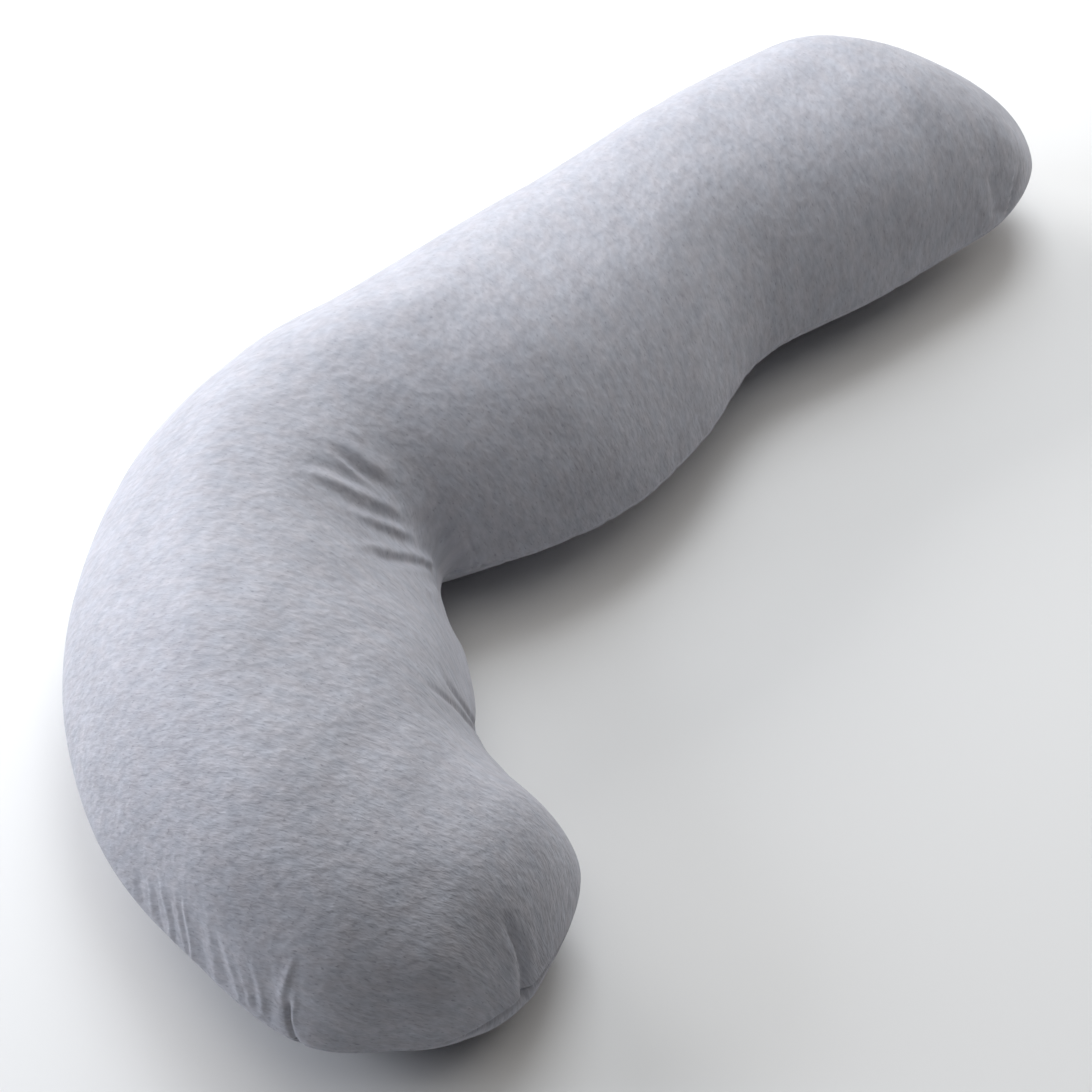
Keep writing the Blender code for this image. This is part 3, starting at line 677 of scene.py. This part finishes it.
# Kinds of patch in the heather: metres across the rows and along them, levels of finer detail, and
# the weights that they have in the shade and in the relief.
Patch = namedtuple("Patch", "across along detail shade relief")
YARN = Patch(0.0014, 0.0042, 1.5, 0.40, 0.30)
SLUB = Patch(0.0031, 0.0088, 1.0, 0.44, 0.40)
FLECK = Patch(0.0015, 0.0042, 0.0, -0.60, 0.0)
SOFT_PATCH = Patch(0.0075, 0.0100, 1.0, 0.56, 1.3)
CLOUD = Patch(0.030, 0.045, 1.0, 0.40, 0.0)
HUE_PATCH = Patch(0.012, 0.016, 1.0, 0.0, 0.0)
DRIFT_PATCH = Patch(0.009, 0.009, 1.0, 0.0, 0.0)
FLECK_START = 0.74               # noise above this is a fleck,
FLECK_SHARPNESS = 6.0            # which is full after one over this more
DRIFT = (0.0019, 0.0012, 0.0)    # metres that the streaks wander, across and along the rows
FOOT_RAMP_AT_ORIGIN = 0.30           # how far the ramp towards the foot's stronger streaks has gone, from 0 to 1, where y is 0,
FOOT_RAMP_LOST = 2.2                 # and how much less it is per metre towards the arm
ARM_CONTRAST = 0.60            # contrast of the streaks at the arm's end of the ramp,
FOOT_CONTRAST = 0.90            # and how much more it is at the foot's end
RELIEF = 0.0006                  # metres that a relief of 1 stands for


def heathered_jersey():
    """Melange cotton jersey. The yarn is spun from pale and dark fibre, so every row of loops runs from
    paler to darker in short wandering streaks, with soft patches and a few dark flecks between them.
    The streaks are stronger towards the foot end, at -Y, and weaker on the arm."""
    material = bpy.data.materials.new("heathered_jersey")
    material.use_nodes = True
    tree = material.node_tree
    shader = tree.nodes["Principled BSDF"]
    at = Socket(tree)
    cloth = at.node("ShaderNodeUVMap", {"uv_map": "knit"})

    def vector(operation, left, right):
        return at.node("ShaderNodeVectorMath", {"operation": operation}, {0: left, 1: right})

    def noise(place, patch, out=0):
        """Noise from 0 to 1 whose patches have the given size on the cloth."""
        scaled = vector("MULTIPLY", place, (1 / patch.across, 1 / patch.along, 0.0))
        sockets = {"Vector": scaled, "Scale": 1.0, "Detail": patch.detail, "Roughness": 0.5}
        return at.node("ShaderNodeTexNoise", {"noise_dimensions": "2D"}, sockets, out)

    drift = vector("SUBTRACT", noise(cloth, DRIFT_PATCH, "Color"), (0.5, 0.5, 0.0))
    strayed = vector("ADD", cloth, vector("MULTIPLY", drift, DRIFT))
    yarn = noise(strayed, YARN) - 0.5
    slubs = noise(strayed, SLUB) - 0.5
    patches = noise(cloth, SOFT_PATCH) - 0.5
    clouds = noise(cloth, CLOUD) - 0.5
    flecks = at.math("MULTIPLY", noise(strayed, FLECK) - FLECK_START, FLECK_SHARPNESS, clamp=True)

    # The streaks' contrast ramps up from the arm towards the foot, at -Y.
    spot = at.node("ShaderNodeTexCoord", out="Object")
    toward_arm = at.node("ShaderNodeSeparateXYZ", None, {"Vector": spot}, "Y")
    foot_ramp = at.math("SUBTRACT", FOOT_RAMP_AT_ORIGIN, toward_arm * FOOT_RAMP_LOST, clamp=True)
    contrast = foot_ramp * FOOT_CONTRAST + ARM_CONTRAST
    streaks = (yarn * YARN.shade + slubs * SLUB.shade + flecks * FLECK.shade) * contrast
    shade = streaks + patches * SOFT_PATCH.shade + clouds * CLOUD.shade + 0.5
    grey = at.node("ShaderNodeMix", {"data_type": "RGBA", "clamp_factor": True},
                   {"Factor": shade, 6: DARK_YARN, 7: PALE_YARN}, out=2)
    hue = noise(cloth, HUE_PATCH) * 2.0 - 0.5
    tint = at.node("ShaderNodeMix", {"data_type": "RGBA", "clamp_factor": True},
                   {"Factor": hue, 6: WARM_TINT, 7: COOL_TINT}, out=2)
    colour = at.node("ShaderNodeMix", {"data_type": "RGBA", "blend_type": "MULTIPLY"},
                     {"Factor": 1.0, 6: grey, 7: tint}, out=2)
    raised = (yarn * YARN.relief + slubs * SLUB.relief) * contrast + patches * SOFT_PATCH.relief
    bump = at.node("ShaderNodeBump", None, {"Height": raised, "Distance": RELIEF, "Strength": 1.0})
    at.feed(shader, {
        "Base Color": colour,
        "Roughness": 0.92,
        "Specular IOR Level": 0.25,
        "Sheen Weight": 0.25,
        "Sheen Roughness": 0.45,
        "Sheen Tint": (0.93, 0.94, 1.0, 1.0),
        "Normal": bump,
    })
    return material


pillow_cover.data.materials.append(heathered_jersey())
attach(pillow_cover, "root")
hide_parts("pillow")


# ---- the studio -------------------------------------------------------------------------------------
# A plain pale floor, five soft lights and a weak even sky. The strongest lights stand behind the
# pillow, so the sides that face the camera are in soft shade.

FLOOR_SIDE = 12.0
FLOOR_PALE = (0.80, 0.80, 0.80, 1.0)

half = FLOOR_SIDE / 2
floor_corners = [(-half, -half, 0.0), (half, -half, 0.0), (half, half, 0.0), (-half, half, 0.0)]
floor_mesh = bpy.data.meshes.new("studio_floor")
floor_mesh.from_pydata(floor_corners, [], [(0, 1, 2, 3)])
studio_floor = bpy.data.objects.new("studio_floor", floor_mesh)
floor_paint = bpy.data.materials.new("studio_floor")
floor_paint.use_nodes = True
floor_shader = floor_paint.node_tree.nodes["Principled BSDF"]
floor_shader.inputs["Base Color"].default_value = FLOOR_PALE
floor_shader.inputs["Roughness"].default_value = 0.95
floor_shader.inputs["Specular IOR Level"].default_value = 0.1
floor_mesh.materials.append(floor_paint)
scene.collection.objects.link(studio_floor)

# Each light stands at this azimuth, from +X towards +Y, and elevation, and looks at the pillow.
Light = namedtuple("Light", "name azimuth elevation distance size power colour")
LIGHTS = (
    Light("key_behind_arm",   90, 22, 3.2, 1.8, 83.0, (1.00, 0.99, 0.98)),
    Light("key_behind_hook", 135, 22, 3.2, 1.8, 60.0, (0.93, 0.97, 1.05)),
    Light("high_behind_arm",  45, 55, 3.2, 1.8, 56.0, (0.90, 0.95, 1.00)),
    Light("overhead",          0, 90, 3.0, 3.0, 33.0, (1.00, 0.98, 0.95)),
    Light("far_side",          0, 22, 3.2, 1.8, 22.0, (1.00, 0.94, 0.86)),
)
for light in LIGHTS:
    lamp = bpy.data.lights.new(light.name, "AREA")
    lamp.shape = "SQUARE"
    lamp.size = light.size
    lamp.energy = light.power
    lamp.color = light.colour
    azimuth = math.radians(light.azimuth)
    elevation = math.radians(light.elevation)
    toward_light = Vector((
        math.cos(azimuth) * math.cos(elevation),
        math.sin(azimuth) * math.cos(elevation),
        math.sin(elevation),
    ))
    holder = bpy.data.objects.new(light.name, lamp)
    holder.location = light.distance * toward_light
    holder.rotation_euler = (-toward_light).to_track_quat("-Z", "Y").to_euler()
    scene.collection.objects.link(holder)

SKY_COLOUR = (0.95, 0.97, 1.0, 1.0)
SKY_STRENGTH = 0.02
sky = bpy.data.worlds.new("studio_sky")
sky.use_nodes = True
background = sky.node_tree.nodes["Background"]
background.inputs["Color"].default_value = SKY_COLOUR
background.inputs["Strength"].default_value = SKY_STRENGTH
scene.world = sky
scene.view_settings.view_transform = "Standard"
